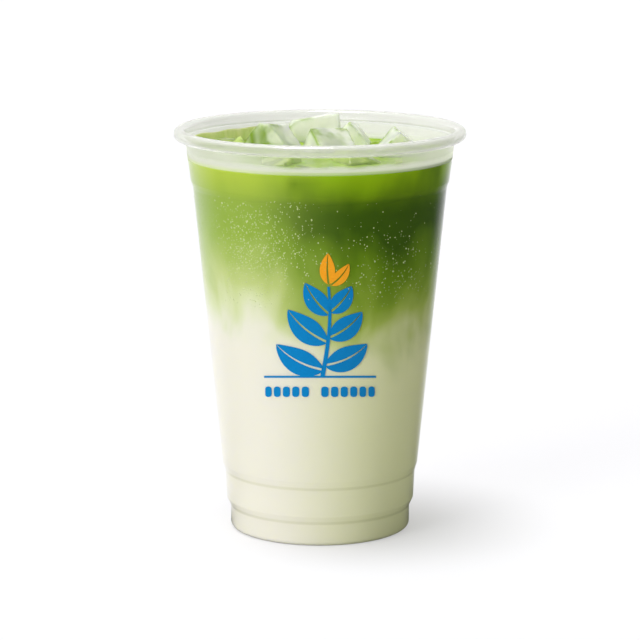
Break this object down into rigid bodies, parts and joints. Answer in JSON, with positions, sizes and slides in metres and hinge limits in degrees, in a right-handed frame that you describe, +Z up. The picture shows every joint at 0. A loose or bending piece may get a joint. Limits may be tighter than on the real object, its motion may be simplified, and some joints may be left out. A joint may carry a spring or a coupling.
{
  "type": "matcha latte",
  "caption": "Iced matcha latte in a clear tapered plastic cup with a rolled rim: white milk below, green matcha above, and ice cubes standing out of the top.",
  "frame": {"origin": "centre of the plane that the cup's foot rests on", "axes": "+Z up along the cup's axis; -Y is the front, where the printed panel is; +X to the right seen from the front"},
  "size_m": [0.098, 0.098, 0.137],
  "materials": {
    "clear_cup": "clear thermoformed PET, slightly hazy, with a milky rolled rim",
    "milk": "opaque cold milk, faintly tinted with green",
    "half_mixed": "opaque, half-mixed milk and matcha in soft wisps",
    "matcha": "opaque matcha tea, bright green, darker where it is undiluted",
    "ice": "wet melting ice, cloudy inside"
  },
  "bodies": {
    "root": {"cup": "clear_cup", "milk_layer": "milk", "swirl_layer": "half_mixed", "matcha_layer": "matcha", "ice_back_left": "ice", "ice_left": "ice", "ice_back": "ice", "ice_middle": "ice", "ice_back_right": "ice", "ice_right": "ice", "ice_far_right": "ice", "ice_front": "ice", "ice_far_left": "ice", "ice_front_left": "ice", "ice_front_right": "ice", "ice_back_wall": "ice", "ice_front_wall": "ice", "ice_left_wall": "ice"}
  },
  "joints": []
}
